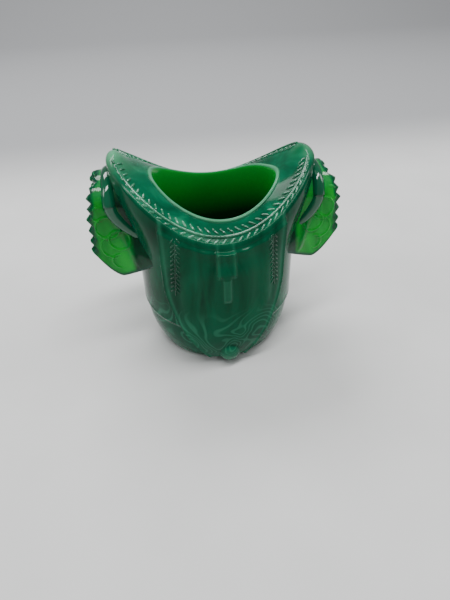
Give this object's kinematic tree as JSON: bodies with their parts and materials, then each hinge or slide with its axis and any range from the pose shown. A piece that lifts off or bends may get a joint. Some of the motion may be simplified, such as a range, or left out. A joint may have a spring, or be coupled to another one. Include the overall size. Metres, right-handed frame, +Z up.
{
  "type": "pressed glass saddle holder",
  "caption": "Barrel-shaped pressed glass holder with an oval mouth in a saddle seat, hanging fenders and serrated blankets under each end.",
  "frame": {"origin": "centre of the foot on the resting plane", "axes": "+Z up out of the cup's mouth, +X towards the pommel end of the saddle, -Y towards the front fender"},
  "size_m": [0.0708, 0.0504, 0.0617],
  "materials": {
    "barrel_glass": "glossy slag glass, deep emerald with jade streaks",
    "saddle_glass": "glossy slag glass, jade",
    "blanket_glass": "glossy translucent green glass"
  },
  "bodies": {
    "root": {"foot_ring": "barrel_glass", "cup_floor": "barrel_glass", "lower_staves": "barrel_glass", "barrel_hoop": "barrel_glass", "upper_barrel": "barrel_glass", "cantle": "saddle_glass", "pommel": "saddle_glass", "front_seat_wall": "saddle_glass", "rear_seat_wall": "saddle_glass", "cantle_roll": "saddle_glass", "pommel_horn": "saddle_glass", "front_border": "saddle_glass", "rear_border": "saddle_glass", "front_border_ridge": "saddle_glass", "rear_border_ridge": "saddle_glass", "front_border_barbs": "saddle_glass", "rear_border_barbs": "saddle_glass", "mouth_lip": "saddle_glass", "front_fender": "barrel_glass", "front_strap": "barrel_glass", "front_stitching": "barrel_glass", "front_stirrup_knob": "barrel_glass", "rear_fender": "barrel_glass", "rear_strap": "barrel_glass", "rear_stitching": "barrel_glass", "rear_stirrup_knob": "barrel_glass", "left_blanket_front": "blanket_glass", "left_blanket_top": "blanket_glass", "left_blanket_rear": "blanket_glass", "left_blanket_roll": "blanket_glass", "left_blanket_rosettes": "blanket_glass", "right_blanket_front": "blanket_glass", "right_blanket_top": "blanket_glass", "right_blanket_rear": "blanket_glass", "right_blanket_roll": "blanket_glass", "right_blanket_rosettes": "blanket_glass"}
  },
  "joints": []
}
